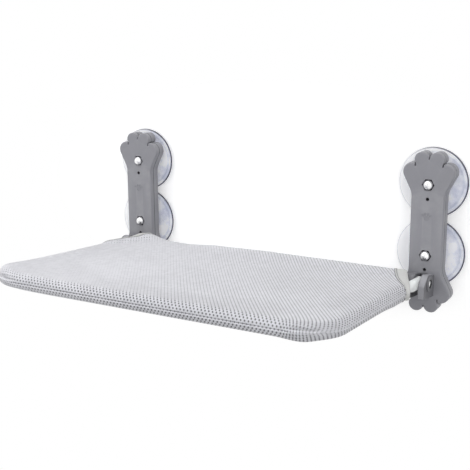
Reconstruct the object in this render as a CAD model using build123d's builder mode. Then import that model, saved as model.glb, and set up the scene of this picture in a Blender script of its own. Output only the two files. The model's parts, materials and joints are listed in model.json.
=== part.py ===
from build123d import *
import math
import os

os.makedirs("parts", exist_ok=True)

# Window mounted cat perch. The glass is the plane Y = 0, the room is on its -Y side, Z is up.
# The origin is the middle of the four suction cups, on the glass. Depths count from the glass.

# Layout on the glass
bracket_spacing = 435.0
cup_pitch = 90.0

# Suction cups, clear soft PVC pressed on the glass
cup_radius = 44.6
cup_rim = 1.0
cup_seal_width = 6.5
cup_hollow = 1.5
cup_dish_radius = 18.0
cup_dish_depth = 3.6
cup_shoulder_radius = 12.0
cup_shoulder_depth = 5.6
cup_neck_radius = 9.5

# Threaded studs moulded into the cups, M8
stud_radius = 4.0
stud_head_radius = 8.2
stud_head = 1.6
stud_head_cover = 1.4
stud_tip_chamfer = 0.8
stud_end_gap = 0.5
moulded_gap = 0.05

# Cap nuts, M8, 13 mm across the flats
nut_flats = 13.0
nut_hex = 6.5
nut_dome_radius = 6.2
nut_height = 15.0
nut_thread_depth = 11.0
nut_chamfer = 0.6
thread_gap = 0.05

# Bracket outline, a bone with a four-toed paw at each end
bone_middle = -16.5
body_width = 42.0
outer_toe_x = 21.2
outer_toe_z = 76.7
outer_toe_radius = 11.6
inner_toe_x = 9.4
inner_toe_z = 92.4
inner_toe_radius = 9.5
neck_slope = 27.0
neck_blend = 24.0
cleft_width = 1.3
cleft_round = 2.0
cleft_mouth = 3.0
outer_cleft_depth = 3.0
outer_cleft_lean = 6.0

# Bracket depths and walls
skirt_depth = 4.0
web_depth = 8.5
web = 2.5
parting_depth = 14.7
face_depth = 22.5
face_wall = 2.6
side_wall = 2.4
face_round = 1.5
parting_chamfer = 0.4

# Plain paw print pressed into each bracket's face, between its nuts
print_middle = 3.0
print_depth = 0.4
print_pad_x = 3.6
print_pad_z = 2.9
print_toe_x = 1.3
print_toe_z = 1.9
print_toe_ring = 5.6
print_toe_turns = (-54.0, -19.0, 19.0, 54.0)

# Nut pockets and locating pegs
nut_gap = 0.4
nut_seat = 2.0
pocket_wall = 3.6
stud_clearance = 0.25
peg_drop = 18.0
peg_radius = 2.1
peg_gap = 0.1
peg_wall = 2.0
peg_height = 6.0

# Hinge clevis on the lower half of each bracket
pivot_depth = 43.5
pivot_height = -74.2
ear = 8.5
ear_reach = 17.0
ear_rise = 10.6
ear_root_rise = 4.8
ear_drop = 16.0
ear_root_drop = 22.0
ear_root = 5.0
ear_brow_round = 3.0
ear_chin_round = 1.2
ear_side_gap = 0.4
boss_radius = 10.0
boss_height = 2.0
boss_round = 0.8
stop_thickness = 5.0
stop_reach = 5.0
stop_gap = 0.1

# Hinge bolt and nut, M6, 10 mm across the flats
bolt_radius = 3.0
bolt_flats = 10.0
bolt_head = 4.0
bolt_nut = 5.0
bolt_chamfer = 0.5
hex_gap = 0.2
head_recess = 0.5
pivot_gap = 0.05
ear_bore_gap = 0.1

# Steel tube frame of the bed, bent to a U, with flattened ends at the hinges
bed_tilt = 4.4
tube_radius = 6.35
tube_wall = 1.2
flat_thickness = 8.0
flat_height = 15.4
flat_length = 24.0
flat_blend = 16.0
bed_reach = 286.0
corner_radius = 42.0

# Rear cross bar, a bent rod welded between the side tubes
rod_radius = 4.0
rod_bend = 25.0
rod_set_in = 5.0

# Mesh sleeve drawn over the frame
mesh = 3.0
mesh_gap = 0.3
edge_flat = 0.25
rear_edge = 12.0
mouth_side = 71.5
mouth_rear_inset = 40.3
rear_corner_round = 16.0
sag = 6.0
sag_length_share = 0.86
sag_width_share = 0.8

# Trim of the sleeve
seam_radius = 0.8
seam_end = 10.0
trim_gap = 0.05
cuff_width = 5.0

# One overrun for every cut
overrun = 1.0

# Derived sizes
half_spacing = bracket_spacing / 2
arm_gap = flat_thickness + 2 * ear_side_gap
nut_seat_depth = web_depth + web + nut_seat
stud_end_depth = nut_seat_depth + nut_thread_depth - stud_end_gap
tube_offset = half_spacing + flat_thickness / 2 - tube_radius
sleeve_half = tube_radius + mesh_gap + mesh
sleeve_width = tube_offset + sleeve_half
sleeve_front = bed_reach + sleeve_half
bed_plane = Plane(
    origin=(0, -pivot_depth, pivot_height),
    x_dir=(1, 0, 0),
    z_dir=(0, math.sin(math.radians(bed_tilt)), math.cos(math.radians(bed_tilt))),
)


def room_plane(x, depth, z):
    """A plane facing the room, with its local Y up."""
    return Plane(origin=(x, -depth, z), x_dir=(1, 0, 0), z_dir=(0, -1, 0))


def turning_plane(x, z):
    """A plane through a line square to the glass: local X is the radius, local Y the depth."""
    return Plane(origin=(x, 0, z), x_dir=(1, 0, 0), z_dir=(0, 0, -1))


def turning_axis(x, z):
    """The line square to the glass through one point of it, pointing into the room."""
    return Axis((x, 0, z), (0, -1, 0))


def side_plane(x):
    """A plane seen from the side: local X is the depth, local Y the height."""
    return Plane(origin=(x, 0, 0), x_dir=(0, -1, 0), z_dir=(-1, 0, 0))


def arm_plane(x):
    """A side plane at the hinge pin, turned with the bed's tilt: local X runs along the arm."""
    tilt = math.radians(bed_tilt)
    return Plane(
        origin=(x, -pivot_depth, pivot_height),
        x_dir=(0, -math.cos(tilt), math.sin(tilt)),
        z_dir=(-1, 0, 0),
    )


def bed_station(across, along):
    """A plane across the bed's tubes at one place of the bed, facing the glass."""
    return Plane(
        origin=bed_plane.from_local_coords(Vector(across, along, 0)),
        x_dir=bed_plane.x_dir,
        z_dir=bed_plane.y_dir,
    )


def save(part, name):
    """Label a finished piece and write it."""
    part.label = name
    export_step(part, f"parts/{name}.step")


def is_near(value, target):
    """Whether a place is the one meant, to a tenth of the overrun."""
    return abs(value - target) < overrun / 10


def hexagon_across(flats):
    """The corner radius of a hexagon of this width across its flats."""
    return flats / math.sqrt(3)


def bone_outline(plane, inset):
    """Sketch the bracket's outline on a plane, a wall's thickness inside the real edge.

    Each cleft starts where two toes' circles meet, and runs out along the gap between them. The outer
    clefts also run a little way into the paw.
    """
    half = body_width / 2 - inset
    toes = ((outer_toe_x, outer_toe_z, outer_toe_radius), (inner_toe_x, inner_toe_z, inner_toe_radius))
    slope = math.radians(neck_slope)
    toe = outer_toe_radius - inset
    tangent_x = outer_toe_x + toe * math.cos(slope)
    tangent_z = outer_toe_z - toe * math.sin(slope)
    knee_z = tangent_z - (tangent_x - half) / math.tan(slope)
    cleft = cleft_width + 2 * inset
    toe_step = Vector(inner_toe_x - outer_toe_x, inner_toe_z - outer_toe_z)
    along = toe_step.normalized()
    meeting = (toe_step.length + (outer_toe_radius**2 - inner_toe_radius**2) / toe_step.length) / 2
    half_chord = math.sqrt(outer_toe_radius**2 - meeting**2)
    outer_cusp = Vector(outer_toe_x, outer_toe_z) + along * meeting + Vector(along.Y, -along.X) * half_chord
    inner_cusp = Vector(0, inner_toe_z + math.sqrt(inner_toe_radius**2 - inner_toe_x**2))
    opening = math.degrees(math.atan2(-along.X, along.Y))
    clefts = [(inner_cusp, 90, cleft_mouth)]
    for hand in (1, -1):
        cusp = Vector(hand * outer_cusp.X, outer_cusp.Y)
        clefts.append((cusp, 90 - hand * (90 - opening), cleft_mouth))
        clefts.append((cusp, -90 - hand * outer_cleft_lean, outer_cleft_depth))

    def at_mouth(v):
        off_toe = min(abs(math.hypot(abs(v.X) - x, abs(v.Y) - z) - radius) for x, z, radius in toes)
        off_cusp = min((Vector(v.X, abs(v.Y)) - cusp).length for cusp, _, _ in clefts)
        return is_near(off_toe, 0) and off_cusp < 2 * cleft_mouth

    with BuildSketch(plane) as bone:
        Rectangle(2 * half, 2 * outer_toe_z)
        for end in (1, -1):
            with Locations((outer_toe_x, end * outer_toe_z), (-outer_toe_x, end * outer_toe_z)):
                Circle(toe)
            with Locations((inner_toe_x, end * inner_toe_z), (-inner_toe_x, end * inner_toe_z)):
                Circle(inner_toe_radius - inset)
            corners = [
                (half, end * knee_z),
                (tangent_x, end * tangent_z),
                (outer_toe_x, end * outer_toe_z),
                (inner_toe_x, end * inner_toe_z),
            ]
            Polygon(*corners, *[(-x, z) for x, z in reversed(corners)], align=None)
            for cusp, turn, length in clefts:
                towards = Vector(length / 2, 0).rotate(Axis.Z, turn)
                with Locations((cusp.X + towards.X, end * (cusp.Y + towards.Y))):
                    SlotCenterToCenter(length, cleft, rotation=end * turn, mode=Mode.SUBTRACT)
        knees = bone.vertices().filter_by(lambda v: is_near(abs(v.X), half) and is_near(abs(v.Y), knee_z))
        fillet(knees, radius=neck_blend)
        if not inset:
            mouths = bone.vertices().filter_by(at_mouth)
            fillet(mouths, radius=cleft_round)
    return bone.sketch


def paw_print(plane):
    """Sketch a plain paw print on a plane: one broad pad and four toes round its upper side."""
    with BuildSketch(plane) as motif:
        Ellipse(print_pad_x, print_pad_z)
        for turn in print_toe_turns:
            place = Vector(0, print_toe_ring).rotate(Axis.Z, -turn)
            with Locations((place.X, place.Y)):
                Ellipse(print_toe_x, print_toe_z, rotation=-turn)
    return motif.sketch


def suction_cup(name, x, z):
    """A clear cup: a thin dish with a sealing rim, and a neck that holds the stud's head."""
    head_depth = cup_hollow + stud_head_cover
    cavity_radius = stud_head_radius + moulded_gap
    cavity_top = head_depth + stud_head + moulded_gap
    with BuildPart() as cup:
        with BuildSketch(turning_plane(x, z)):
            with BuildLine():
                Polyline(
                    (0, cup_hollow),
                    (cup_radius - cup_seal_width, 0),
                    (cup_radius, 0),
                    (cup_radius, cup_rim),
                    (cup_dish_radius, cup_dish_depth),
                    (cup_shoulder_radius, cup_shoulder_depth),
                    (cup_neck_radius, web_depth),
                    (stud_radius + moulded_gap, web_depth),
                    (stud_radius + moulded_gap, cavity_top),
                    (cavity_radius, cavity_top),
                    (cavity_radius, head_depth - moulded_gap),
                    (0, head_depth - moulded_gap),
                    close=True,
                )
            make_face()
        revolve(axis=turning_axis(x, z))
        rim = cup.edges().filter_by(GeomType.CIRCLE)
        rim = rim.filter_by(lambda e: is_near(e.radius, cup_radius) and is_near(e.center().Y, -cup_rim))
        fillet(rim, radius=cup_rim / 2)
    save(cup.part, name)


def cup_stud(name, x, z):
    """The M8 stud moulded into a cup by its flat round head."""
    head_depth = cup_hollow + stud_head_cover
    with BuildPart() as stud:
        with BuildSketch(turning_plane(x, z)):
            with BuildLine():
                Polyline(
                    (0, head_depth),
                    (stud_head_radius, head_depth),
                    (stud_head_radius, head_depth + stud_head),
                    (stud_radius, head_depth + stud_head),
                    (stud_radius, stud_end_depth - stud_tip_chamfer),
                    (stud_radius - stud_tip_chamfer, stud_end_depth),
                    (0, stud_end_depth),
                    close=True,
                )
            make_face()
        revolve(axis=turning_axis(x, z))
    save(stud.part, name)


def cap_nut(name, x, z):
    """A domed M8 nut that clamps the bracket's two halves on a cup's stud."""
    dome_depth = nut_seat_depth + nut_height - nut_dome_radius
    with BuildPart() as nut:
        with BuildSketch(room_plane(x, nut_seat_depth, z)):
            RegularPolygon(hexagon_across(nut_flats), side_count=6)
        extrude(amount=nut_hex)
        chamfer(nut.faces().sort_by(Axis.Y)[0].edges(), length=nut_chamfer)
        with BuildSketch(turning_plane(x, z)):
            with BuildLine():
                Polyline(
                    (0, dome_depth + nut_dome_radius),
                    (0, nut_seat_depth),
                    (nut_dome_radius, nut_seat_depth),
                    (nut_dome_radius, dome_depth),
                )
                CenterArc((0, dome_depth), nut_dome_radius, 0, 90)
            make_face()
        revolve(axis=turning_axis(x, z))
        with BuildSketch(room_plane(x, nut_seat_depth, z)):
            Circle(stud_radius + thread_gap)
        extrude(amount=nut_thread_depth, mode=Mode.SUBTRACT)
    save(nut.part, name)


def ear_outline(centre):
    """Sketch a clevis ear from the side: round over the pin, with a straight brow to its front."""
    brow = math.acos(ear_rise / ear_reach)
    root = face_depth - pivot_depth - ear_root
    crown = math.atan2(ear_root_rise, root) - math.acos(ear_rise / math.hypot(root, ear_root_rise))
    with BuildSketch(side_plane(centre)) as profile:
        with Locations((pivot_depth, pivot_height)):
            Polygon(
                (root, ear_root_rise),
                (ear_rise * math.cos(crown), ear_rise * math.sin(crown)),
                (ear_rise * math.cos(brow), ear_rise * math.sin(brow)),
                (ear_reach, 0),
                (ear_reach, -ear_drop),
                (root, -ear_root_drop),
                align=None,
            )
            Circle(ear_rise)
        front = profile.vertices().filter_by(lambda v: is_near(v.X, pivot_depth + ear_reach))
        fillet(front.sort_by(Axis.Y)[-1], radius=ear_brow_round)
        front = profile.vertices().filter_by(lambda v: is_near(v.X, pivot_depth + ear_reach))
        fillet(front.sort_by(Axis.Y)[0], radius=ear_chin_round)
    return profile.sketch


def hinge_plane(x, way):
    """A plane square to the hinge pin, facing one way along it."""
    return Plane(origin=(x, -pivot_depth, pivot_height), x_dir=(0, -1, 0), z_dir=(way, 0, 0))


def front_shell(name, side):
    """The room half of a bracket: paw-ended face, nut pockets, peg sockets and the hinge clevis."""
    centre = side * half_spacing
    ear_middle = (arm_gap + ear) / 2
    boss_face = ear_middle + ear / 2 + boss_height
    pocket_depth = web_depth + web
    pocket = face_depth - face_wall - pocket_depth
    with BuildPart() as shell:
        outline = bone_outline(room_plane(centre, parting_depth, bone_middle), 0)
        extrude(outline, amount=face_depth - parting_depth)
        fillet(shell.faces().sort_by(Axis.Y)[0].edges(), radius=face_round)
        chamfer(shell.faces().sort_by(Axis.Y)[-1].edges(), length=parting_chamfer)
        inside = bone_outline(room_plane(centre, parting_depth, bone_middle), side_wall)
        extrude(inside, amount=face_depth - face_wall - parting_depth, mode=Mode.SUBTRACT)
        for end in (1, -1):
            z = end * cup_pitch / 2
            with BuildSketch(room_plane(centre, pocket_depth, z)):
                Circle(hexagon_across(nut_flats) + nut_gap + pocket_wall)
            extrude(amount=pocket)
            with BuildSketch(room_plane(centre, pocket_depth, z - peg_drop)):
                Circle(peg_radius + peg_gap + peg_wall)
            extrude(amount=pocket)
        for ear_centre in (centre - ear_middle, centre + ear_middle):
            extrude(ear_outline(ear_centre), amount=ear / 2, both=True)
        floor_start = face_depth - pivot_depth - ear_root / 2
        floor_top = -flat_height / 2 - stop_gap
        with BuildSketch(arm_plane(centre)):
            Polygon(
                (floor_start, floor_top),
                (stop_reach, floor_top),
                (stop_reach - stop_thickness / 2, floor_top - stop_thickness),
                (floor_start, floor_top - 2 * stop_thickness),
                align=None,
            )
        extrude(amount=arm_gap / 2 + stop_gap, both=True)
        with BuildSketch(hinge_plane(centre + side * (boss_face - boss_height), side)):
            Circle(boss_radius)
        extrude(amount=boss_height)
        rim = shell.edges().filter_by(GeomType.CIRCLE)
        rim = rim.filter_by(lambda e: is_near(e.center().X, centre + side * boss_face))
        fillet(rim, radius=boss_round)
        for end in (1, -1):
            z = end * cup_pitch / 2
            with BuildSketch(room_plane(centre, nut_seat_depth, z)):
                RegularPolygon(hexagon_across(nut_flats + 2 * nut_gap), side_count=6)
            extrude(amount=face_depth, mode=Mode.SUBTRACT)
            with BuildSketch(room_plane(centre, web_depth, z)):
                Circle(stud_radius + stud_clearance)
            extrude(amount=face_depth, mode=Mode.SUBTRACT)
            with BuildSketch(room_plane(centre, web_depth, z - peg_drop)):
                Circle(peg_radius + peg_gap)
            extrude(amount=face_depth - web_depth + overrun, mode=Mode.SUBTRACT)
        motif = paw_print(room_plane(centre, face_depth - print_depth, print_middle))
        extrude(motif, amount=print_depth + overrun, mode=Mode.SUBTRACT)
        with BuildSketch(hinge_plane(centre, side)):
            Circle(bolt_radius + ear_bore_gap)
        extrude(amount=boss_face + overrun, both=True, mode=Mode.SUBTRACT)
        for way, face, depth in (
            (side, boss_face, head_recess + bolt_head),
            (-side, boss_face - boss_height, head_recess + bolt_nut),
        ):
            with BuildSketch(hinge_plane(centre + way * (face - depth), way)):
                RegularPolygon(hexagon_across(bolt_flats + 2 * hex_gap), side_count=6)
            extrude(amount=depth + overrun, mode=Mode.SUBTRACT)
    save(shell.part, name)


def back_plate(name, side):
    """The glass half of a bracket: a skirt round a web that the cups' necks bear on."""
    centre = side * half_spacing
    with BuildPart() as plate:
        outline = bone_outline(room_plane(centre, skirt_depth, bone_middle), 0)
        extrude(outline, amount=parting_depth - skirt_depth)
        chamfer(plate.faces().sort_by(Axis.Y)[0].edges(), length=parting_chamfer)
        skirt = bone_outline(room_plane(centre, skirt_depth, bone_middle), side_wall)
        extrude(skirt, amount=web_depth - skirt_depth, mode=Mode.SUBTRACT)
        hollow = bone_outline(room_plane(centre, web_depth + web, bone_middle), side_wall)
        extrude(hollow, amount=parting_depth, mode=Mode.SUBTRACT)
        for end in (1, -1):
            z = end * cup_pitch / 2
            with BuildSketch(room_plane(centre, web_depth + web, z - peg_drop)):
                Circle(peg_radius)
            extrude(amount=peg_height)
            with BuildSketch(room_plane(centre, skirt_depth, z)):
                Circle(stud_radius + stud_clearance)
            extrude(amount=parting_depth, mode=Mode.SUBTRACT)
    save(plate.part, name)


def hinge_bolt(name, side):
    """The M6 bolt that a bed arm turns on, its head sunk in the outer ear."""
    centre = side * half_spacing
    reach = arm_gap / 2 + ear
    seat = reach + boss_height - head_recess - bolt_head
    with BuildPart() as bolt:
        with BuildSketch(hinge_plane(centre + side * seat, side)):
            RegularPolygon(hexagon_across(bolt_flats), side_count=6)
        extrude(amount=bolt_head)
        ends = bolt.faces().filter_by(Axis.X).sort_by(Axis.X, reverse=side > 0)
        chamfer(ends[0].edges(), length=bolt_chamfer)
        with BuildSketch(hinge_plane(centre + side * seat, -side)):
            Circle(bolt_radius)
        extrude(amount=seat + reach - head_recess)
    save(bolt.part, name)


def hinge_nut(name, side):
    """The M6 nut sunk in the inner ear."""
    centre = side * half_spacing
    seat = arm_gap / 2 + ear - head_recess - bolt_nut
    with BuildPart() as nut:
        with BuildSketch(hinge_plane(centre - side * seat, -side)):
            RegularPolygon(hexagon_across(bolt_flats), side_count=6)
            Circle(bolt_radius + thread_gap, mode=Mode.SUBTRACT)
        extrude(amount=bolt_nut)
    save(nut.part, name)


def frame_tube():
    """The U of steel tube: two side runs, two bends, a front run, and a flattened end at each hinge."""
    start = -flat_length - flat_blend
    with BuildPart() as tube:
        with BuildLine(bed_plane) as route:
            FilletPolyline(
                (tube_offset, start),
                (tube_offset, -bed_reach),
                (-tube_offset, -bed_reach),
                (-tube_offset, start),
                radius=corner_radius,
            )
        with BuildSketch(Plane(origin=route.line @ 0, z_dir=route.line % 0)):
            Circle(tube_radius)
            Circle(tube_radius - tube_wall, mode=Mode.SUBTRACT)
        sweep()
        for side in (1, -1):
            for inset, past, mode in ((0, 0, Mode.ADD), (tube_wall, overrun, Mode.SUBTRACT)):
                with BuildSketch(bed_station(side * tube_offset, start)):
                    Circle(tube_radius - inset)
                with BuildSketch(bed_station(side * half_spacing, -flat_length)):
                    SlotOverall(flat_height - 2 * inset, flat_thickness - 2 * inset, rotation=90)
                loft(mode=mode)
                with BuildSketch(bed_station(side * half_spacing, -flat_length)):
                    SlotOverall(flat_height - 2 * inset, flat_thickness - 2 * inset, rotation=90)
                extrude(amount=flat_length + flat_height / 2 + past, mode=mode)
            with BuildSketch(arm_plane(side * half_spacing)):
                Rectangle(flat_height, 2 * flat_height, align=(Align.MAX, Align.CENTER))
                Circle(flat_height / 2, mode=Mode.SUBTRACT)
            extrude(amount=flat_thickness / 2 + overrun, both=True, mode=Mode.SUBTRACT)
            with BuildSketch(arm_plane(side * half_spacing)):
                Circle(bolt_radius + pivot_gap)
            extrude(amount=flat_thickness / 2 + overrun, both=True, mode=Mode.SUBTRACT)
    save(tube.part, "frame_tube")


def mouth_line(side, outward):
    """The plan line of a rear corner's cut mouth, moved outwards: two places on it and its directions."""
    rear = Vector(side * (sleeve_width - mouth_rear_inset), rear_edge)
    end = Vector(side * sleeve_width, -mouth_side)
    along = (end - rear).normalized()
    outwards = Vector(-side * along.Y, side * along.X)
    return rear + outwards * outward, end + outwards * outward, along, outwards


def rear_bar():
    """The bent rod that carries the sleeve's rear edge, coped and welded to the side tubes."""
    start, _, along, _ = mouth_line(1, -mesh - mesh_gap - rod_radius - rod_set_in)
    bar_v = rear_edge - mesh - mesh_gap - rod_radius
    bend = start + along * ((bar_v - start.Y) / along.Y)
    end = bend + along * ((tube_offset - bend.X) / along.X)
    with BuildPart() as bar:
        with BuildLine(bed_plane) as route:
            FilletPolyline(
                (end.X, end.Y),
                (bend.X, bend.Y),
                (-bend.X, bend.Y),
                (-end.X, end.Y),
                radius=rod_bend,
            )
        with BuildSketch(Plane(origin=route.line @ 0, z_dir=route.line % 0)):
            Circle(rod_radius)
        sweep()
        for side in (1, -1):
            with BuildSketch(bed_station(side * tube_offset, -bed_reach / 2)):
                Circle(tube_radius + trim_gap)
            extrude(amount=bed_reach / 2, mode=Mode.SUBTRACT)
    save(bar.part, "rear_bar")


def sagging_slab(inset):
    """The sleeve's whole body, a wall's thickness inside its outer face: edges rounded, middle sagging."""
    half = sleeve_half - inset
    half_width = sleeve_width - inset
    front = sleeve_front - inset
    rear = rear_edge - inset
    middle = (rear_edge - sleeve_front) / 2
    sag_half_width = sleeve_width * sag_length_share
    sag_half_depth = (sleeve_front + rear_edge) / 2 * sag_width_share
    ring_shares = (1.0, 0.86, 0.6, 0.25)
    drop_shares = (0.0, 0.35, 0.75, 1.0)
    with BuildPart() as slab:
        with BuildSketch(bed_plane) as plan:
            corners = ((half_width, -front), (half_width, rear), (-half_width, rear), (-half_width, -front))
            Polygon(*corners, align=None)
            fillet(plan.vertices().group_by(Axis.Y)[0], radius=corner_radius + sleeve_half - inset)
            fillet(plan.vertices().group_by(Axis.Y)[-1], radius=rear_corner_round - inset)
        extrude(amount=half, both=True)
        broad = slab.faces().filter_by(Axis(bed_plane.origin, bed_plane.z_dir))
        fillet(broad.edges(), radius=half - edge_flat)
        for level, mode in ((half, Mode.SUBTRACT), (-half, Mode.ADD)):
            for ring_share, drop_share in zip(ring_shares, drop_shares):
                with BuildSketch(bed_plane.offset(level - sag * drop_share)):
                    with Locations((0, middle)):
                        Ellipse(sag_half_width * ring_share, sag_half_depth * ring_share)
            loft(mode=mode)
    return slab.part


def corner_strip(side, near, far):
    """Sketch the plan of the strip beside a rear corner's mouth, between two distances from it."""
    rear, end, along, outwards = mouth_line(side, near)
    width = outwards * (far - near)
    past = along * sleeve_half * 4
    corners = (rear - past, end + past, end + past + width, rear - past + width)
    with BuildSketch(bed_plane) as strip:
        Polygon(*[(corner.X, corner.Y) for corner in corners], align=None)
    return strip.sketch


def mesh_sleeve(body, hollow):
    """The spacer mesh bag: drawn round the frame, open at its two rear corners."""
    with BuildPart() as sleeve:
        add(body)
        add(hollow, mode=Mode.SUBTRACT)
        for side in (1, -1):
            strip = corner_strip(side, 0, sleeve_width)
            extrude(strip, amount=2 * sleeve_half, both=True, mode=Mode.SUBTRACT)
    save(sleeve.part, "mesh_sleeve")


def mouth_cuff(name, side, body, hollow):
    """The woven band sewn round one rear corner's mouth."""
    with BuildPart() as cuff:
        add(body)
        add(hollow, mode=Mode.SUBTRACT)
        extrude(corner_strip(side, 0, cuff_width), amount=2 * sleeve_half, both=True, mode=Mode.INTERSECT)
    save(cuff.part, name)


def front_seam():
    """The sewn ridge along the middle of the front roll and round its two corners."""
    run = sleeve_front - corner_radius - sleeve_half - seam_end
    stand = seam_radius + trim_gap
    with BuildPart() as seam:
        with BuildLine(bed_plane) as route:
            FilletPolyline(
                (sleeve_width + stand, -run),
                (sleeve_width + stand, -sleeve_front - stand),
                (-sleeve_width - stand, -sleeve_front - stand),
                (-sleeve_width - stand, -run),
                radius=corner_radius + sleeve_half + stand,
            )
        with BuildSketch(Plane(origin=route.line @ 0, z_dir=route.line % 0)):
            Circle(seam_radius)
        sweep()
    save(seam.part, "front_seam")


for side, hand in ((-1, "left"), (1, "right")):
    front_shell(f"{hand}_front_shell", side)
    back_plate(f"{hand}_back_plate", side)
    for end, level in ((1, "upper"), (-1, "lower")):
        cup_x = side * half_spacing
        cup_z = end * cup_pitch / 2
        suction_cup(f"{level}_{hand}_cup", cup_x, cup_z)
        cup_stud(f"{level}_{hand}_stud", cup_x, cup_z)
        cap_nut(f"{level}_{hand}_cap_nut", cup_x, cup_z)
    hinge_bolt(f"{hand}_hinge_bolt", side)
    hinge_nut(f"{hand}_hinge_nut", side)

frame_tube()
rear_bar()
sleeve_body = sagging_slab(0)
sleeve_hollow = sagging_slab(mesh)
mesh_sleeve(sleeve_body, sleeve_hollow)
for side, hand in ((-1, "left"), (1, "right")):
    mouth_cuff(f"{hand}_cuff", side, sleeve_body, sleeve_hollow)
front_seam()
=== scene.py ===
import json
import math

import bmesh
import bpy
import numpy as np
from mathutils import Matrix, Vector


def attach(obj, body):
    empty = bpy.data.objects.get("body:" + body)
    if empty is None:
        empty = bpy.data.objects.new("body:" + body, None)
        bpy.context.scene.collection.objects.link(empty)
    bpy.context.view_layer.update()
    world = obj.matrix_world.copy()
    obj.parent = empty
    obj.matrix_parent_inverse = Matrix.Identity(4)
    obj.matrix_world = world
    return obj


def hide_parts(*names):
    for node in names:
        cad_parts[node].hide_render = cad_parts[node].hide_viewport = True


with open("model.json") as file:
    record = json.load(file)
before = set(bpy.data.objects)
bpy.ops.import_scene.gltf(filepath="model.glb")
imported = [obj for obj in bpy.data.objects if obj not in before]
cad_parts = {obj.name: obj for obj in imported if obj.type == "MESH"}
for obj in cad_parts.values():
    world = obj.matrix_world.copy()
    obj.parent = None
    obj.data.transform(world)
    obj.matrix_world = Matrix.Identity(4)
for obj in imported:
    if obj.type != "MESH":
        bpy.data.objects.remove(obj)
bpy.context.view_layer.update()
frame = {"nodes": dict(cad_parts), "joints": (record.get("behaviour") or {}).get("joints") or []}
nodes = frame["nodes"]
scene = bpy.context.scene

# The photograph's view
# The perch hangs on a window and is seen from the room, from its right and a little above. The pane
# isn't part of the object, so the perch hangs in a white room, with a pale floor well below it.
view_azimuth = math.radians(29.442)
view_elevation = math.radians(13.586)
view_roll = math.radians(-0.439)
view_place = Vector((0.5381, -1.0745, 0.2432))
forward = Vector((
    -math.sin(view_azimuth) * math.cos(view_elevation),
    math.cos(view_azimuth) * math.cos(view_elevation),
    -math.sin(view_elevation),
))
level_right = Vector((math.cos(view_azimuth), math.sin(view_azimuth), 0))
level_up = level_right.cross(forward)
view_right = math.cos(view_roll) * level_right + math.sin(view_roll) * level_up
view_up = -math.sin(view_roll) * level_right + math.cos(view_roll) * level_up
camera = bpy.data.objects.new("camera", bpy.data.cameras.new("camera"))
camera.data.sensor_width = 36
camera.data.lens = 67.91
camera.data.clip_end = 20
turn = Matrix((view_right, view_up, -forward)).transposed()
camera.matrix_world = Matrix.Translation(view_place) @ turn.to_4x4()
scene.collection.objects.link(camera)
scene.camera = camera


# Lamps
# Three large soft lamps stand on the room side of the perch, and weak daylight comes through the pane.
def softbox(name, place, target, size, power):
    """Hang a soft rectangular lamp at a place, turned to its target."""
    light = bpy.data.objects.new(name, bpy.data.lights.new(name, "AREA"))
    light.data.shape = "RECTANGLE"
    light.data.size, light.data.size_y = size
    light.data.energy = power
    light.location = place
    light.rotation_euler = (Vector(target) - Vector(place)).to_track_quat("-Z", "Y").to_euler()
    scene.collection.objects.link(light)


softbox("ceiling_light", place=(-0.1, -0.55, 1.7), target=(0, -0.15, -0.1), size=(1.8, 1.0), power=10.9)
softbox("window_light", place=(-1.1, -1.2, 1.1), target=(0, -0.1, -0.05), size=(1.2, 1.0), power=9)
softbox("daylight", place=(0.2, 1.4, 0.5), target=(0, 0, -0.03), size=(1.6, 1.2), power=4)
softbox("room_light", place=(1.5, -1.3, 0.5), target=(0, -0.1, -0.05), size=(1.0, 1.0), power=6.3)


# Room
# The room is plain white where the camera sees it, also through the clear cups and in shiny metal, and
# a little dimmer and cooler as a light.
class NodeTools:
    """Short ways to add nodes to one tree, and to feed them with values or with other nodes' sockets."""

    def __init__(self, tree):
        self.tree = tree

    def feed(self, node, inputs):
        """Feed a node's inputs, by name or by place. A colour is given as red, green and blue."""
        for name, value in dict(inputs).items():
            socket = node.inputs[name]
            if isinstance(value, bpy.types.NodeSocket):
                self.tree.links.new(value, socket)
            elif socket.type == "RGBA":
                socket.default_value = (*value, 1)
            else:
                socket.default_value = value

    def add(self, kind, inputs=(), **settings):
        """Add a node with its settings, and feed it."""
        node = self.tree.nodes.new(kind)
        for name, value in settings.items():
            setattr(node, name, value)
        self.feed(node, inputs)
        return node

    def calc(self, operation, *terms, **settings):
        """The result of a step of maths."""
        return self.add("ShaderNodeMath", enumerate(terms), operation=operation, **settings).outputs[0]

    def vector(self, operation, *terms):
        """The result of a step of maths on vectors."""
        made = self.add("ShaderNodeVectorMath", enumerate(terms), operation=operation)
        return made.outputs["Value" if operation == "LENGTH" else "Vector"]

    def fit(self, value, start=0, end=1, low=0, high=1, **settings):
        """A value brought from one range into another, and held in it."""
        inputs = {"Value": value, "From Min": start, "From Max": end, "To Min": low, "To Max": high}
        return self.add("ShaderNodeMapRange", inputs, **settings).outputs[0]

    def blend(self, share, first, second, **settings):
        """A colour between two others."""
        inputs = {"Factor": share, "A": first, "B": second}
        return self.add("ShaderNodeMix", inputs, data_type="RGBA", **settings).outputs["Result"]

    def colours_along(self, share, stops):
        """A colour looked up in a row of stops, each a share and its colour."""
        ramp = self.add("ShaderNodeValToRGB", {"Fac": share})
        marks = ramp.color_ramp.elements
        for mark, (position, colour) in zip(marks, (stops[0], stops[-1])):
            mark.position = position
            mark.color = (*colour, 1)
        for position, colour in stops[1:-1]:
            marks.new(position).color = (*colour, 1)
        return ramp.outputs["Color"]

    def bump(self, height, strength, distance, more=(), **settings):
        """A normal that is raised and sunk by a height."""
        inputs = {"Height": height, "Strength": strength, "Distance": distance, **dict(more)}
        return self.add("ShaderNodeBump", inputs, **settings).outputs[0]

    def mix_shaders(self, share, first, second):
        """A shader between two others."""
        return self.add("ShaderNodeMixShader", {"Fac": share, 1: first, 2: second}).outputs[0]


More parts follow.
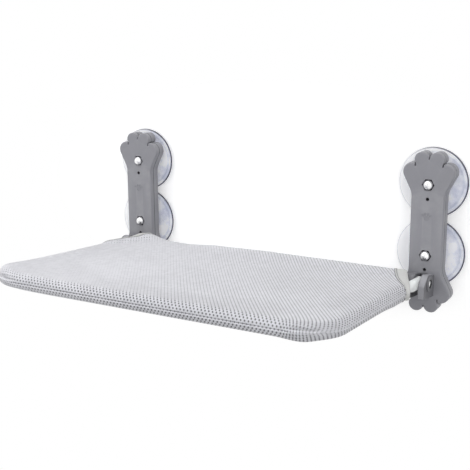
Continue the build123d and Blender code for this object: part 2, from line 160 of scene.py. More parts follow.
scene.view_settings.view_transform = "Standard"
world = bpy.data.worlds.new("room")
world.use_nodes = True
scene.world = world
world.node_tree.nodes.clear()
room = NodeTools(world.node_tree)
rays = room.add("ShaderNodeLightPath").outputs
seen_in = room.calc("MAXIMUM", rays["Is Transmission Ray"], rays["Is Glossy Ray"])
seen = room.calc("MAXIMUM", rays["Is Camera Ray"], seen_in)
dim = room.add("ShaderNodeBackground", {"Color": (0.984, 0.9885, 1), "Strength": 0.65})
white = room.add("ShaderNodeBackground", {"Color": (1, 1, 1), "Strength": 1})
light_or_white = room.mix_shaders(seen, dim.outputs[0], white.outputs[0])
room.add("ShaderNodeOutputWorld", {"Surface": light_or_white})


# Wall and floor
# A white wall stands right behind the pane and a white floor well below the bed. Both keep the perch's
# soft shadow near it, and fade to plain white further off. Seen from behind, the wall is left out, and
# the daylight comes through it.
def new_material(name):
    """A material, its Principled shader and the tools for its nodes."""
    made = bpy.data.materials.new(name)
    made.use_nodes = True
    return made, made.node_tree.nodes["Principled BSDF"], NodeTools(made.node_tree)


fade_start = 0.28
fade_end = 0.40
fade_stretch = (1, 1, 2.4)
glow_level = 0.29
white_paper, shader, paper = new_material("white_paper")
rays = paper.add("ShaderNodeLightPath").outputs
paper.feed(shader, {
    "Base Color": paper.blend(rays["Is Diffuse Ray"], (0.9, 0.9, 0.9), (0.46, 0.46, 0.46)),
    "Roughness": 0.9,
})
looked_at = paper.calc("SUBTRACT", 1, rays["Is Diffuse Ray"])
glow = paper.add("ShaderNodeEmission", {"Strength": paper.calc("MULTIPLY", looked_at, glow_level)})
lit = paper.add("ShaderNodeAddShader", {0: shader.outputs[0], 1: glow.outputs[0]})
place = paper.add("ShaderNodeTexCoord").outputs["Object"]
far = paper.vector("LENGTH", paper.vector("MULTIPLY", place, fade_stretch))
fade = paper.fit(far, fade_start, fade_end, interpolation_type="SMOOTHSTEP")
plain_white = paper.add("ShaderNodeEmission", {"Strength": 1})
fade_seen = paper.calc("MULTIPLY", fade, looked_at)
faded = paper.mix_shaders(fade_seen, lit.outputs[0], plain_white.outputs[0])
back = paper.add("ShaderNodeNewGeometry").outputs["Backfacing"]
left_out = paper.calc("MAXIMUM", back, rays["Is Shadow Ray"])
clear = paper.add("ShaderNodeBsdfTransparent")
one_sided = paper.mix_shaders(left_out, faded, clear.outputs[0])
paper.feed(white_paper.node_tree.nodes["Material Output"], {"Surface": one_sided})

sheet_reach = 4
behind_pane = 0.004
floor_drop = 0.6
square = [(-sheet_reach, -sheet_reach), (sheet_reach, -sheet_reach), (sheet_reach, sheet_reach),
          (-sheet_reach, sheet_reach)]


def paper_sheet(name, corners, place):
    """Stand a sheet of white paper round the perch."""
    made = bpy.data.meshes.new(name)
    made.from_pydata(corners, [], [range(len(corners))])
    made.materials.append(white_paper)
    sheet = bpy.data.objects.new(name, made)
    sheet.location = place
    scene.collection.objects.link(sheet)


paper_sheet("wall", [(x, 0, z) for x, z in square], (0, behind_pane, 0))
paper_sheet("floor", [(x, y, 0) for x, y in square], (0, 0, -floor_drop))


# Grain and wear
# Every surface has a fine moulded, plated or woven grain and a slow change of tone over the piece, and
# plastic wears paler and drier along its edges.
def new_group(name, inputs, outputs):
    """A group of shader nodes, its tools, the sockets it is given and its result node."""
    group = bpy.data.node_groups.new(name, "ShaderNodeTree")
    for labels, way in ((inputs, "INPUT"), (outputs, "OUTPUT")):
        for label in labels:
            group.interface.new_socket(label, in_out=way, socket_type="NodeSocketFloat")
    tools = NodeTools(group)
    return group, tools, tools.add("NodeGroupInput").outputs, tools.add("NodeGroupOutput")


scale_names = ("Grain Scale", "Tone Scale")
fine_grain, tools, given, result = new_group("fine_grain", scale_names, ("Height", "Tone"))
place = tools.add("ShaderNodeTexCoord").outputs["Object"]
fine = {"Vector": place, "Scale": given["Grain Scale"], "Detail": 6, "Roughness": 0.65}
slow = {"Vector": place, "Scale": given["Tone Scale"], "Detail": 3}
tools.feed(result, {
    "Height": tools.add("ShaderNodeTexNoise", fine).outputs["Fac"],
    "Tone": tools.add("ShaderNodeTexNoise", slow).outputs["Fac"],
})

edge_wear, tools, given, result = new_group("edge_wear", ("Amount", "Patch Scale"), ("Mask",))
place = tools.add("ShaderNodeTexCoord").outputs["Object"]
patches = tools.add("ShaderNodeTexNoise", {"Vector": place, "Scale": given["Patch Scale"], "Detail": 4})
pointiness = tools.add("ShaderNodeNewGeometry").outputs["Pointiness"]
on_edge = tools.fit(pointiness, start=0.505, end=0.56)
broken = tools.calc("MULTIPLY", on_edge, patches.outputs["Fac"])
tools.feed(result, {"Mask": tools.calc("MULTIPLY", broken, given["Amount"], use_clamp=True)})


def grain_in(tools, grain_scale, tone_scale):
    """The fine grain in one material, as the sockets Height and Tone."""
    scales = zip(scale_names, (grain_scale, tone_scale))
    return tools.add("ShaderNodeGroup", scales, node_tree=fine_grain).outputs


def object_place(tools):
    """The place on the object, as the sockets X, Y and Z."""
    place = tools.add("ShaderNodeTexCoord").outputs["Object"]
    return tools.add("ShaderNodeSeparateXYZ", {0: place}).outputs


def dress(node, material):
    """Give a CAD node its finish."""
    slots = nodes[node].data.materials
    slots.clear()
    slots.append(material)


def box_of(node):
    """The middle and the half size of a CAD node's box."""
    corners = [nodes[node].matrix_world @ Vector(corner) for corner in nodes[node].bound_box]
    low = Vector(map(min, zip(*corners)))
    high = Vector(map(max, zip(*corners)))
    return (low + high) / 2, (high - low) / 2


# Moulded brackets
# Both halves of each bracket are injection moulded in a warm mid grey with a fine spark-eroded
# texture, worn a little paler along their edges. The halves are clamped on the cups' studs by the cap
# nuts. Places are taken on the right bracket, and serve the left one as its mirror image.
bracket_grey, shader, plastic = new_material("bracket_grey")
grey = (0.255, 0.255, 0.278)
worn_grey = (0.34, 0.34, 0.36)
shade_and_joint_grey = (0.012, 0.012, 0.014)
tone_spread = 0.05
cup_middle, cup_half = box_of("upper_right_cup")
bracket_across = cup_middle.x
cup_up = cup_middle.z
hinge = Vector(frame["joints"][0]["pos_m"])
socket_down = 0.018
socket_radius = 0.0023
pocket_radius = 0.0079
pocket_middle = -0.0100
pocket_half_depth = 0.0122
bolt_pocket_radius = 0.00586
joint_line = -0.0147
joint_half_width = 0.00045
anywhere = 10
shade_edge_share = 0.93

# Places painted dark, as centre and half size: painted shade in the peg sockets, on the walls of the nut
# pockets behind the face and round the rim of the hinge bolt's pocket, and the dark joint between the
# halves.
shade_and_joint_places = [
    (hinge, (anywhere, bolt_pocket_radius, bolt_pocket_radius)),
    ((0, joint_line, 0), (anywhere, joint_half_width, anywhere)),
]
for up in (cup_up, -cup_up):
    shade_and_joint_places += [
        ((bracket_across, 0, up - socket_down), (socket_radius, anywhere, socket_radius)),
        ((bracket_across, pocket_middle, up), (pocket_radius, pocket_half_depth, pocket_radius)),
    ]
place = object_place(plastic)
across = plastic.calc("ABSOLUTE", place["X"])
folded = plastic.add("ShaderNodeCombineXYZ", {"X": across, "Y": place["Y"], "Z": place["Z"]}).outputs[0]
masks = []
for centre, half_size in shade_and_joint_places:
    offset = plastic.vector("SUBTRACT", folded, centre)
    shares = plastic.vector("MULTIPLY", offset, [1 / size for size in half_size])
    masks.append(plastic.fit(plastic.vector("LENGTH", shares), start=1, end=shade_edge_share))

# The clevis gap is painted dark from the arm down to the toes, and painted shade lies on the inner ear and
# the outer ear's side, as (middle across, half width, depth of the painted shade).
clevis_top = -0.0655
clevis_dark = -0.0720
toes_top = -0.0965
ears_back = -0.0227
clevis_gap = (bracket_across, 0.00465, 0.85)
inner_ear = (0.2128, 0.0093, 0.45)
outer_side = (0.2322, 0.0025, 0.5)
above_toes = plastic.calc("GREATER_THAN", place["Z"], toes_top)
in_clevis = plastic.calc("MULTIPLY", plastic.fit(place["Z"], clevis_top, clevis_dark), above_toes)
on_ears = plastic.calc("LESS_THAN", place["Y"], ears_back)
shaded_bands = ((clevis_gap, in_clevis), (inner_ear, on_ears), (outer_side, on_ears))
for (middle, half_width, depth), where in shaded_bands:
    within = plastic.calc("MULTIPLY", plastic.calc("COMPARE", across, middle, half_width), where)
    masks.append(plastic.calc("MULTIPLY", within, depth))
# The painted shade and the dark joint, joined into one share of the darkest grey.
shade_and_joint = masks[0]
for mask in masks[1:]:
    shade_and_joint = plastic.calc("MAXIMUM", shade_and_joint, mask)

wear = plastic.add("ShaderNodeGroup", {"Amount": 0.9, "Patch Scale": 90}, node_tree=edge_wear)
grain = grain_in(plastic, grain_scale=1500, tone_scale=26)
low_grey = [c * (1 - tone_spread) for c in grey]
high_grey = [c * (1 + tone_spread) for c in grey]
edges = plastic.blend(wear.outputs["Mask"], plastic.blend(grain["Tone"], low_grey, high_grey), worn_grey)
plastic.feed(shader, {
    "Base Color": plastic.blend(shade_and_joint, edges, shade_and_joint_grey),
    "Roughness": plastic.fit(grain["Tone"], low=0.46, high=0.58),
    "Normal": plastic.bump(grain["Height"], strength=0.35, distance=0.00004),
})
for hand in ("left", "right"):
    dress(f"{hand}_front_shell", bracket_grey)
    dress(f"{hand}_back_plate", bracket_grey)

# Suction cups
# Clear soft PVC, moulded in one piece, pressed flat on the pane by its own vacuum. It is water clear with a
# slight blue cast where it is thick. A painted dark line at its thin rim stands for the rim bending the
# light, painted light makes its left side paler, and painted shadow of the bracket, broken into smears,
# darkens its right side.
clear_pvc, shader, pvc = new_material("clear_pvc")
cup_radius = cup_half.x
ripples = 46
place = pvc.add("ShaderNodeTexCoord").outputs["Object"]
centred = pvc.vector("SUBTRACT", pvc.vector("ABSOLUTE", place), (bracket_across, 0, cup_up))
out_share = pvc.vector("LENGTH", pvc.vector("MULTIPLY", centred, (1 / cup_radius, 0, 1 / cup_radius)))
tone_and_painted_rim = pvc.colours_along(out_share, [
    (0.30, (0.62, 0.64, 0.72)),
    (0.55, (0.96, 0.965, 0.985)),
    (0.80, (0.95, 0.955, 0.98)),
    (0.865, (0.80, 0.82, 0.88)),
    (0.90, (0.97, 0.975, 0.99)),
    (0.955, (0.97, 0.975, 0.99)),
    (0.968, (0.08, 0.08, 0.13)),
    (1.0, (0.10, 0.10, 0.15)),
])
# Painted light on the cup's left side, and painted shadow of the bracket on its right side.
x = object_place(pvc)["X"]
own_middle = pvc.calc("MULTIPLY", pvc.calc("SIGN", x), bracket_across)
rightward = pvc.calc("SUBTRACT", x, own_middle)
painted_light_share = pvc.fit(rightward, start=0.020, end=-0.030, high=0.85)
painted_shadow_share = pvc.fit(rightward, start=-0.012, end=0.030, low=0.05)
smears = grain_in(pvc, grain_scale=240, tone_scale=42)
smears_and_painted_shadow = pvc.calc("MULTIPLY", pvc.fit(smears["Tone"], start=0.40, end=0.60), painted_shadow_share)
painted_light_tone = pvc.blend(painted_light_share, tone_and_painted_rim, (0.92, 0.925, 0.94))
ripple = pvc.calc("SINE", pvc.calc("MULTIPLY", out_share, ripples))
rippled = pvc.bump(ripple, strength=0.5, distance=0.00006)
pvc.feed(shader, {
    "Transmission Weight": 1,
    "IOR": 1.42,
    "Base Color": pvc.blend(smears_and_painted_shadow, painted_light_tone, (0.70, 0.72, 0.81), blend_type="MULTIPLY"),
    "Roughness": pvc.fit(smears["Tone"], low=0.04, high=0.16),
    "Normal": pvc.bump(smears["Tone"], strength=0.3, distance=0.0006, more={"Normal": rippled}),
})
for level in ("upper", "lower"):
    for hand in ("left", "right"):
        dress(f"{level}_{hand}_cup", clear_pvc)


# Fasteners
# Bright chrome cap nuts turn on zinc plated studs, and nickel plated hinge bolts in zinc plated nuts.
def plated_metal(name, colour, roughness, scratch_depth, painted_shade_behind=None):
    """Plated steel. Past a given depth towards the pane it is painted dark, as painted shade where a nut's
    hexagon sinks into its pocket.
    """
    made, shader, metal = new_material(name)
    grain = grain_in(metal, grain_scale=2200, tone_scale=180)
    dull_share = 0.9
    plating = metal.blend(grain["Tone"], [c * dull_share for c in colour], colour)
    if painted_shade_behind:
        edge = 0.0004
        painted_shade_share = metal.fit(object_place(metal)["Y"], painted_shade_behind - edge, painted_shade_behind + edge)
        plating = metal.blend(painted_shade_share, plating, (0.02, 0.02, 0.022))
    metal.feed(shader, {
        "Metallic": 1,
        "Base Color": plating,
        "Roughness": metal.fit(grain["Tone"], low=roughness * 0.7, high=roughness * 1.3),
        "Normal": metal.bump(grain["Height"], strength=0.2, distance=scratch_depth),
    })
    return made


# The cap nuts' hexagons, sunk in their pockets, are painted dark as painted shade.
bright_chrome = plated_metal("bright_chrome", (0.95, 0.95, 0.96), roughness=0.2, scratch_depth=0.00001,
                             painted_shade_behind=-0.0200)
zinc_plate = plated_metal("zinc_plate", (0.62, 0.63, 0.65), roughness=0.34, scratch_depth=0.00003)

# The hinge bolt's head is bright at its domed middle and painted dark round its rim as painted shade, deep
# in the ear's pocket.
bolt_plate, shader, plate = new_material("bolt_plate")
head_radius = 0.005
dome_height = 0.0022
offset = plate.vector("SUBTRACT", plate.add("ShaderNodeTexCoord").outputs["Object"], hinge)
shares = plate.vector("MULTIPLY", offset, (0, 1 / head_radius, 1 / head_radius))
out_share = plate.vector("LENGTH", shares)
dome = plate.calc("MULTIPLY", out_share, out_share)
tone_and_painted_rim = plate.colours_along(out_share, [(0.66, (0.85, 0.86, 0.86)), (0.84, (0.03, 0.035, 0.035))])
grain = grain_in(plate, grain_scale=2200, tone_scale=180)
plate.feed(shader, {
    "Metallic": 1,
    "Base Color": tone_and_painted_rim,
    "Roughness": plate.fit(grain["Tone"], low=0.16, high=0.28),
    "Normal": plate.bump(dome, strength=1, distance=dome_height, invert=True),
})
for hand in ("left", "right"):
    for level in ("upper", "lower"):
        dress(f"{level}_{hand}_cap_nut", bright_chrome)
        dress(f"{level}_{hand}_stud", zinc_plate)
    dress(f"{hand}_hinge_bolt", bolt_plate)
    dress(f"{hand}_hinge_nut", zinc_plate)

# Tube frame and rear bar
# Half inch steel tube and rod with a glossy white powder coat, whose faint orange peel breaks up its
# gloss. The tube's flattened ends turn on the hinge bolts.
powder_coat, shader, coat = new_material("powder_coat")
peel = grain_in(coat, grain_scale=420, tone_scale=14)
coat.feed(shader, {
    "Base Color": coat.blend(peel["Tone"], (0.94, 0.965, 0.955), (0.96, 0.98, 0.97)),
    "Roughness": coat.fit(peel["Tone"], low=0.22, high=0.34),
    "Coat Weight": 0.5,
    "Coat Roughness": 0.08,
    "Normal": coat.bump(peel["Height"], strength=0.25, distance=0.00008),
})
dress("frame_tube", powder_coat)
dress("rear_bar", powder_coat)

# Mesh bag
# Pale grey spacer mesh, 3 mm thick, knitted with staggered holes. It is drawn tight round the frame,
# sewn shut along the middle of its front roll, and cut back at the two rear corners for the arms. Its
# holes stand more open where it bends round the tube.
tilt = math.radians(4.4)
bed_along = Vector((0, math.cos(tilt), -math.sin(tilt)))
bed_normal = Vector((0, math.sin(tilt), math.cos(tilt)))
roll = 0.00965
wall = 0.003
side_tube = 0.21515
front_tube = -0.286
rear_reach = 0.012
corner = 0.042
hole_across = 0.00225
hole_along = 0.003375
hole_depth = 0.0016
lining_step = 8
sag = 0.006
mouth_side = -0.0715
mouth_cut = 0.0403
seam_depth = 0.0012
seam_fade = 0.020
seam_rows = 0.4
quarter = roll * math.pi / 2
rear_line = rear_reach - roll
mouth_rear = side_tube + roll - mouth_cut
corner_flat = corner + quarter
half_pattern = side_tube + quarter
pattern_front = front_tube - quarter
pattern_rear = rear_line + quarter
columns = 2 * round(half_pattern / hole_across)
pattern_middle = columns / 4
rows = round((pattern_rear - pattern_front) / hole_along)
lines = [0, seam_rows / 2, *(half_row / 2 for half_row in range(1, 2 * rows + 1))]

# Swells of the cloth, as height, centre and reach, the last two across and along the bed. The front
# tuck and the front crown run round the front corners instead, with their angles round the corner and
# round the tube.
left_swell = (0.0022, (-0.205, -0.265), (0.05, 0.045))
corner_hang = (0.0024, (0.194, -0.290), (0.016, 0.014))
left_tip_lift = (0.0035, (-0.210, -0.270), (0.035, 0.035))
mouth_hang = (0.0030, (0.215, -0.085), (0.030, 0.035))
front_tuck = (0.0030, (1.12, 1.30), (0.30, 0.17))
front_crown = (0.0012, (1.12, 0.85), (0.34, 0.25))
left_corner_swell = 0.0022
puff_across = (-0.16, -0.12, -0.08, 0.0, 0.05, 0.2)
puff_height = (0, -0.0008, 0.0024, 0.0040, 0.0038, 0.0032)
puff_reach = 0.030

# Ruffles at the left mouth, as height, share of the way along the mouth and reach in shares, and the
# raised lip of the mesh before the band.
ruffles = ((0.0065, 0.83, 0.17), (0.0025, 0.50, 0.25))
ruffle_reach = 0.022
lip_height = 0.0036
lip_inward = 0.009
lip_reach = 0.006
lip_start_share = 0.15
lip_end_share = 0.95
lip_fade_share = 0.25


def bed_point(across, along, height):
    """A point of the bed in the frame, from its place on the bed's plane."""
    return hinge + Vector((across, 0, 0)) + bed_along * along + bed_normal * height


def mouth_share(along):
    """How far along the rear corner's cut a place lies: 0 at the side of the bed and 1 at its rear."""
    return max(0.0, (along - mouth_side) / (rear_line + roll - mouth_side))


def mouth_across(along):
    """How far across the bed the rear corner's cut lies, at one place along the bed."""
    return side_tube + roll - mouth_share(along) * (side_tube + roll - mouth_rear)


def pattern_limit(along_pattern):
    """The edge of the flat pattern at one place along it: the side bend, or the mouth's cut."""
    along = along_pattern
    if along_pattern > rear_line:
        along = rear_line + roll * math.sin((along_pattern - rear_line) / roll)
    across = mouth_across(along)
    if across >= side_tube + roll:
        return half_pattern
    if across > side_tube:
        return side_tube + roll * math.asin((across - side_tube) / roll)
    return across


def round_corner(a, b):
    """Pull the corner of a unit square in to a quarter circle, so that the holes' rows bend round it."""
    return a * math.sqrt(1 - b * b / 2), b * math.sqrt(1 - a * a / 2)


def hump(distance, reach):
    """A soft rise from 0 to 1 and back, as a share of its height."""
    return math.exp(-(distance / reach) ** 2)


def swell(a, b, shape):
    """How high one swell of the cloth is at a place, given by its two measures."""
    height, centre, reach = shape
    return height * hump(a - centre[0], reach[0]) * hump(b - centre[1], reach[1])


def sagging(across, along):
    """How far the stretched mesh dips, between the frame's tubes."""
    middle = (front_tube + rear_line) / 2
    flatness = 2.5
    x = min(1.0, abs(across) / side_tube)
    y = min(1.0, abs(along - middle) / (rear_line - middle))
    return sag * (1 - x ** flatness) * (1 - y ** flatness)


def rising(across, along):
    """How far the upper layer stands off the frame: puffed up at the rear, ruffled at the left arm."""
    puff = hump(along - rear_line, puff_reach) * np.interp(across, puff_across, puff_height)
    if across > 0:
        return puff
    share = mouth_share(along)
    inward = max(0.0, mouth_across(along) + across)
    ruffle = sum(height * hump(share - middle, reach) for height, middle, reach in ruffles)
    lip_share = min(1.0, share / lip_start_share, max(0.0, lip_end_share - share) / lip_fade_share)
    lip = lip_height * lip_share * hump(inward - lip_inward, lip_reach)
    return puff + swell(across, along, left_swell) + ruffle * hump(inward, ruffle_reach) + lip


def hanging(across, along):
    """How far the lower layer hangs off the frame: at the front roll's ends and before the mouths."""
    hang = swell(across, along, corner_hang) + swell(abs(across), along, mouth_hang)
    return hang - swell(across, along, left_tip_lift)


def bag_point(across_pattern, along_pattern, side, inside):
    """Place a point of the flat pattern on the bag. Its side is 1 for the upper layer, -1 for the lower."""
    far = min(abs(across_pattern), pattern_limit(along_pattern))
    hand = 1 if across_pattern >= 0 else -1
    radius = roll - inside
    centre_x = side_tube - corner
    centre_y = front_tube + corner
    if far > centre_x and along_pattern < centre_y:
        a, b = round_corner((far - centre_x) / corner_flat, (centre_y - along_pattern) / corner_flat)
        reach = math.hypot(a, b) * corner_flat
        spin = math.atan2(b, a)
        angle = max(0.0, reach - corner) / roll
        if side > 0:
            radius += swell(spin, angle, front_crown) - swell(spin, angle, front_tuck)
        if hand < 0:
            radius += left_corner_swell * (math.sin(2 * spin) * min(1.0, reach / corner)) ** 2
        reach = min(reach, corner) + radius * math.sin(angle)
        across = centre_x + reach * math.cos(spin)
        along = centre_y - reach * math.sin(spin)
    else:
        angle = 0.0
        across, along = far, along_pattern
        if far > side_tube:
            angle = (far - side_tube) / roll
            across = side_tube + radius * math.sin(angle)
        if along_pattern < front_tube:
            angle = (front_tube - along_pattern) / roll
            along = front_tube - radius * math.sin(angle)
        elif along_pattern > rear_line:
            angle = max(angle, (along_pattern - rear_line) / roll)
            along = rear_line + radius * math.sin((along_pattern - rear_line) / roll)
    height = side * radius * math.cos(angle) - sagging(across, along)
    if side > 0:
        height += rising(hand * across, along) * math.cos(angle)
    else:
        height -= hanging(hand * across, along) * math.cos(angle)
    return bed_point(hand * across, along, height)


def pattern_place(column, line):
    """The place on the flat pattern of a column and a line of its cells."""
    return (
        -half_pattern + 2 * half_pattern * column / columns,
        pattern_front + (pattern_rear - pattern_front) * line / rows,
    )


def seam_pull(across_pattern, line):
    """How deep the sewn seam draws the front roll in: it dies out past the frame's corner."""
    past = (abs(across_pattern) - (side_tube - corner)) / seam_fade
    return seam_depth * min(1.0, max(0.0, 1 - past)) * max(0.0, 1 - line / seam_rows)


def bag_layers(body, inside, step, holes):
    """Lay one face of both layers as a grid of the mesh's cells, with a dimple at every other crossing."""
    uv = body.loops.layers.uv.verify()
    lanes = [*range(0, columns, step), columns]
    grids = []
    for side in (1, -1):
        grid = []
        places = []
        for line in lines:
            limit = pattern_limit(pattern_place(0, line)[1])
            points = []
            marks = []
            for column in lanes:
                s, t = pattern_place(column, line)
                s = max(-limit, min(limit, s))
                point = bag_point(s, t, side, inside + seam_pull(s, line))
                inner = abs(s) < limit - hole_across / 2 and 0 < line < rows
                if holes and inner and (column + line) % 2 == 0:
                    deep = bag_point(s, t, side, inside + roll / 2)
                    point = point + (deep - point).normalized() * hole_depth
                points.append(body.verts.new(point))
                marks.append(((s + half_pattern) / hole_across / 2, line / 2))
            grid.append(points)
            places.append(marks)
        for r in range(len(lines) - 1):
            for k in range(len(lanes) - 1):
                corners = [(r, k), (r, k + 1), (r + 1, k + 1), (r + 1, k)]
                face = body.faces.new([grid[i][j] for i, j in corners])
                for loop, (i, j) in zip(face.loops, corners):
                    loop[uv].uv = places[i][j]
        grids.append(grid)
    return grids


bag = bmesh.new()
outer = bag_layers(bag, 0, 1, True)
lining = bag_layers(bag, wall, lining_step, False)
for out_grid, in_grid in zip(outer, lining):
    for r in range(len(lines) - 1):
        if pattern_limit(pattern_place(0, lines[r + 1])[1]) < half_pattern:
            for end in (0, -1):
                corners = (out_grid[r], out_grid[r + 1], in_grid[r + 1], in_grid[r])
                bag.faces.new([line[end] for line in corners])
weld_distance = hole_across / 200
bmesh.ops.remove_doubles(bag, verts=bag.verts, dist=weld_distance)
bmesh.ops.recalc_face_normals(bag, faces=bag.faces)
for face in bag.faces:
    face.smooth = True
bag_mesh = bpy.data.meshes.new("mesh_bag")
bag.to_mesh(bag_mesh)
mesh_bag = bpy.data.objects.new("mesh_bag", bag_mesh)
scene.collection.objects.link(mesh_bag)
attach(mesh_bag, "bed")
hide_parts("mesh_sleeve")

# The holes are painted dark as painted shade down in them, and lie at the whole and the half numbers of the
# pattern.
# They are more open round the sides and the front, counted in pairs of cells from the edge of the pattern.
air_mesh, shader, knit = new_material("air_mesh")
light_yarn = (0.70, 0.70, 0.735)
dark_yarn = (0.57, 0.57, 0.60)
painted_hole_shade = (0.045, 0.045, 0.055)
side_flat = 4.5
side_bent = 2.5
front_flat = 3.4
front_bent = 2.0
closed_flat = 0.20
closed_bent = 0.02
hole_rim = 1.25
hole_bottom = 1.80
pattern = knit.add("ShaderNodeUVMap").outputs["UV"]
apart = knit.add("ShaderNodeSeparateXYZ", {0: pattern}).outputs
waves = [knit.calc("COSINE", knit.calc("MULTIPLY", apart[axis], 2 * math.pi)) for axis in ("X", "Y")]
hole = knit.calc("ABSOLUTE", knit.calc("ADD", *waves))
from_middle = knit.calc("ABSOLUTE", knit.calc("SUBTRACT", apart["X"], pattern_middle))
round_side = knit.fit(from_middle, pattern_middle - side_flat, pattern_middle - side_bent)
round_front = knit.fit(apart["Y"], front_flat, front_bent)
closed = knit.fit(knit.calc("MAXIMUM", round_side, round_front), low=closed_flat, high=closed_bent)
opened = knit.calc("SUBTRACT", hole, closed)
mask = knit.fit(opened, hole_rim, hole_bottom, high=0.9, interpolation_type="SMOOTHSTEP")
yarn = grain_in(knit, grain_scale=1800, tone_scale=9)
cell = knit.vector("FLOOR", pattern)
loops = knit.add("ShaderNodeTexWhiteNoise", {"Vector": cell}, noise_dimensions="2D")
wales = knit.vector("MULTIPLY", pattern, (1, 0.12, 1))
wale_tone = knit.add("ShaderNodeTexNoise", {"Vector": wales, "Scale": 0.9, "Detail": 1})
slubs = knit.calc("MULTIPLY", loops.outputs["Value"], wale_tone.outputs["Fac"])
yarn_tone = knit.blend(knit.calc("ADD", slubs, yarn["Tone"]), dark_yarn, light_yarn)
knit.feed(shader, {
    "Base Color": knit.blend(mask, yarn_tone, painted_hole_shade),
    "Roughness": 0.82,
    "Sheen Weight": 0.2,
    "Sheen Roughness": 0.4,
    "Normal": knit.bump(yarn["Height"], strength=0.3, distance=0.0002),
})
bag_mesh.materials.append(air_mesh)


# Woven tape and thread
# The mouth bands are a pale plain woven tape. They and the front seam are sewn with a darker polyester
# thread.
def woven(name, light, dark, weave_scale):
    """A plain diagonal weave in two tones."""
    made, shader, cloth = new_material(name)
    place = cloth.add("ShaderNodeTexCoord").outputs["Object"]
    threads = {"Vector": place, "Scale": weave_scale, "Distortion": 0.6}
    weave = cloth.add("ShaderNodeTexWave", threads, bands_direction="DIAGONAL").outputs["Fac"]
    tone = cloth.calc("MULTIPLY", weave, grain_in(cloth, grain_scale=1600, tone_scale=60)["Tone"])
    cloth.feed(shader, {
        "Base Color": cloth.blend(tone, dark, light),
        "Roughness": 0.8,
        "Sheen Weight": 0.2,
        "Normal": cloth.bump(weave, strength=0.4, distance=0.00015),
    })
    return made


band_tape = woven("band_tape", (0.66, 0.66, 0.645), (0.52, 0.52, 0.51), weave_scale=280)
sewing_thread = woven("sewing_thread", (0.26, 0.26, 0.28), (0.18, 0.18, 0.20), weave_scale=200)


def stitch_group():
    """A row of stitches along a line: each is a short rounded thread, turned along the line."""
    group = bpy.data.node_groups.new("stitch_row", "GeometryNodeTree")
    group.interface.new_socket("Line", in_out="INPUT", socket_type="NodeSocketGeometry")
    for label in ("Spacing", "Stitch Length", "Thread Radius"):
        group.interface.new_socket(label, in_out="INPUT", socket_type="NodeSocketFloat")
    group.interface.new_socket("Material", in_out="INPUT", socket_type="NodeSocketMaterial")
    group.interface.new_socket("Stitches", in_out="OUTPUT", socket_type="NodeSocketGeometry")
    tools = NodeTools(group)
    given = tools.add("NodeGroupInput").outputs
    curve = tools.add("GeometryNodeMeshToCurve", {"Mesh": given["Line"]}).outputs["Curve"]
    spacing = {"Curve": curve, "Length": given["Spacing"]}
    spaced = tools.add("GeometryNodeResampleCurve", spacing, mode="LENGTH")
    tangent = tools.add("GeometryNodeInputTangent").outputs[0]
    aim = tools.add("FunctionNodeAlignRotationToVector", {"Vector": tangent}, axis="Z")
    stitch = tools.add("GeometryNodeMeshIcoSphere", {"Radius": 1, "Subdivisions": 2})
    uneven = tools.add("FunctionNodeRandomValue", {"Min": 0.85, "Max": 1.1, "Seed": 7}).outputs[1]
    reach = tools.calc("MULTIPLY", tools.calc("MULTIPLY", given["Stitch Length"], 0.5), uneven)
    radius = given["Thread Radius"]
    size = tools.add("ShaderNodeCombineXYZ", {"X": radius, "Y": radius, "Z": reach})
    placed = tools.add("GeometryNodeInstanceOnPoints", {
        "Points": spaced.outputs["Curve"],
        "Instance": stitch.outputs["Mesh"],
        "Rotation": aim.outputs["Rotation"],
        "Scale": size.outputs[0],
    })
    real = tools.add("GeometryNodeRealizeInstances", {0: placed.outputs[0]})
    thread = {"Geometry": real.outputs[0], "Material": given["Material"]}
    dyed = tools.add("GeometryNodeSetMaterial", thread)
    tools.add("NodeGroupOutput", {"Stitches": dyed.outputs[0]})
    return group


stitch_row = stitch_group()


def stitches(name, paths, spacing, length, radius):
    """Sew rows of stitches along the paths, as one plain mesh."""
    points = [point for path in paths for point in path]
    edges = []
    first = 0
    for path in paths:
        edges += [(first + i, first + i + 1) for i in range(len(path) - 1)]
        first += len(path)
    guide = bpy.data.meshes.new(name + "_guide")
    guide.from_pydata(points, edges, [])
    sewn = bpy.data.objects.new(name, guide)
    scene.collection.objects.link(sewn)
    modifier = sewn.modifiers.new("stitch_row", "NODES")
    modifier.node_group = stitch_row
    inputs = [item for item in stitch_row.interface.items_tree if item.in_out == "INPUT"]
    sockets = {item.name: item.identifier for item in inputs}
    modifier[sockets["Spacing"]] = spacing
    modifier[sockets["Stitch Length"]] = length
    modifier[sockets["Thread Radius"]] = radius
    modifier[sockets["Material"]] = sewing_thread
    depsgraph = bpy.context.evaluated_depsgraph_get()
    made = bpy.data.meshes.new_from_object(sewn.evaluated_get(depsgraph))
    made.name = name
    sewn.modifiers.clear()
    sewn.data = made
    made.shade_smooth()
    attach(sewn, "bed")
    return sewn


# Front seam
# The bag's two long edges meet along the middle of the front roll, where a lock stitch draws them in.
seam_run_out = 0.008
seam_end = side_tube - corner + seam_run_out
seam_points = 160
thread_rise = 0.0004
seam_path = [
    bag_point(s, pattern_front, 1, seam_pull(s, 0) - thread_rise)
    for s in np.linspace(-seam_end, seam_end, seam_points)
]
seam_thread = stitches("seam_thread", [seam_path], spacing=0.0042, length=0.0034, radius=0.00042)
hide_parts("front_seam")

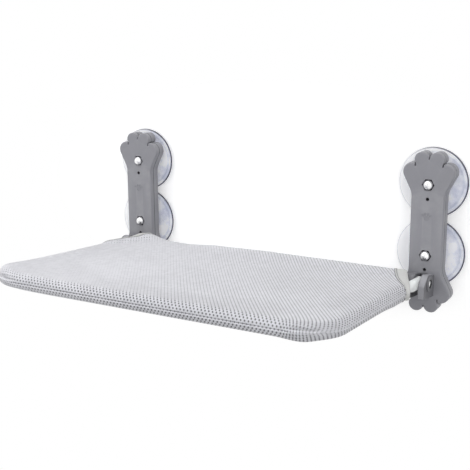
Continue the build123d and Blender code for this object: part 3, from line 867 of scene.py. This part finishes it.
# Mouth bands
# At each rear corner a plain woven band is sewn round the bag's mouth, with two rows of stitches
# beside a raised piping. It stands out past the cut, most at the rear, and ends round the arm.
band_steps = 44
band_lines = [
    mouth_side + (pattern_rear - mouth_side) * step / band_steps
    for step in range(band_steps + 1)
]
band_thick = 0.0011
tuck_least = 0.0030
tuck_more = 0.0042
tuck_start_share = 0.05
piping_least = 0.0004
piping_more = 0.0012
piping_end_share = 0.10
piping_inset = 0.0012
piping_inset_share = 0.3
crease_inset = 0.0026
crease_inset_share = 0.6
free_share = 0.2
sewn_rise = 0.0001
crease_rise = 0.0002
edge_rise = 0.0005
inner_side_share = 0.7
front_slant = math.radians(25.8)
rear_slant = math.radians(8.6)
reach_front = 0.0045
reach_more = 0.0075
hem = 0.0006
hem_drop = 0.0010
stitch_share = 0.05


def band_section(hand, side, along_pattern):
    """The band's outer face at one place of the mouth, from its sewn edge on the mesh to its free edge."""
    limit = pattern_limit(along_pattern)
    share = min(1.0, mouth_share(along_pattern))
    tucked = (tuck_least + tuck_more * math.sin(math.pi * share)) * min(1.0, share / tuck_start_share)
    end_share = min(share, 1 - share)
    piping = piping_least + piping_more * min(1.0, end_share / piping_end_share)
    inward_and_rise = (
        (tucked, sewn_rise),
        (tucked - min(piping_inset, tucked * piping_inset_share), piping),
        (tucked - min(crease_inset, tucked * crease_inset_share), crease_rise),
        (tucked * free_share, edge_rise),
        (0, edge_rise),
    )
    face = [
        bag_point(hand * (limit - inward), along_pattern, side, -rise)
        for inward, rise in inward_and_rise
    ]
    slant = (1 - share) * front_slant + share * rear_slant
    reach = reach_front + reach_more * share
    out = Vector((hand * math.cos(slant), 0, 0)) + bed_along * math.sin(slant)
    down = -bed_normal * side
    cut = face[-1]
    face += [
        cut + out * reach / 2,
        cut + out * (reach - hem) + down * hem,
        cut + out * reach + down * hem_drop,
    ]
    return face


def mouth_band(name, hand, node):
    """Make the band of one mouth as a closed ring of sections, and sew it on."""
    stations = [(1, t) for t in band_lines] + [(-1, t) for t in reversed(band_lines[1:-1])]
    ring = []
    for side, t in stations:
        face = band_section(hand, side, t)
        middle = bag_point(hand * pattern_limit(t), t, side, roll * inner_side_share)
        under = [point + (middle - point).normalized() * band_thick for point in face]
        ring.append(face + under[::-1])
    body = bmesh.new()
    grid = [[body.verts.new(point) for point in section] for section in ring]
    count = len(ring[0])
    for i in range(len(grid)):
        after = (i + 1) % len(grid)
        for j in range(count):
            k = (j + 1) % count
            body.faces.new([grid[i][j], grid[after][j], grid[after][k], grid[i][k]]).smooth = True
    bmesh.ops.recalc_face_normals(body, faces=body.faces)
    made = bpy.data.meshes.new(name)
    body.to_mesh(made)
    made.materials.append(band_tape)
    band = bpy.data.objects.new(name, made)
    scene.collection.objects.link(band)
    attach(band, "bed")
    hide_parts(node)
    faces = [band_section(hand, side, t) for side, t in stations]
    paths = [
        [face[first] + (face[second] - face[first]) * stitch_share for face in faces]
        for first, second in ((0, 1), (2, 4))
    ]
    rows_sewn = stitches(name + "_stitches", paths, spacing=0.0026, length=0.0025, radius=0.00048)


mouth_band("left_mouth_band", -1, "left_cuff")
mouth_band("right_mouth_band", 1, "right_cuff")
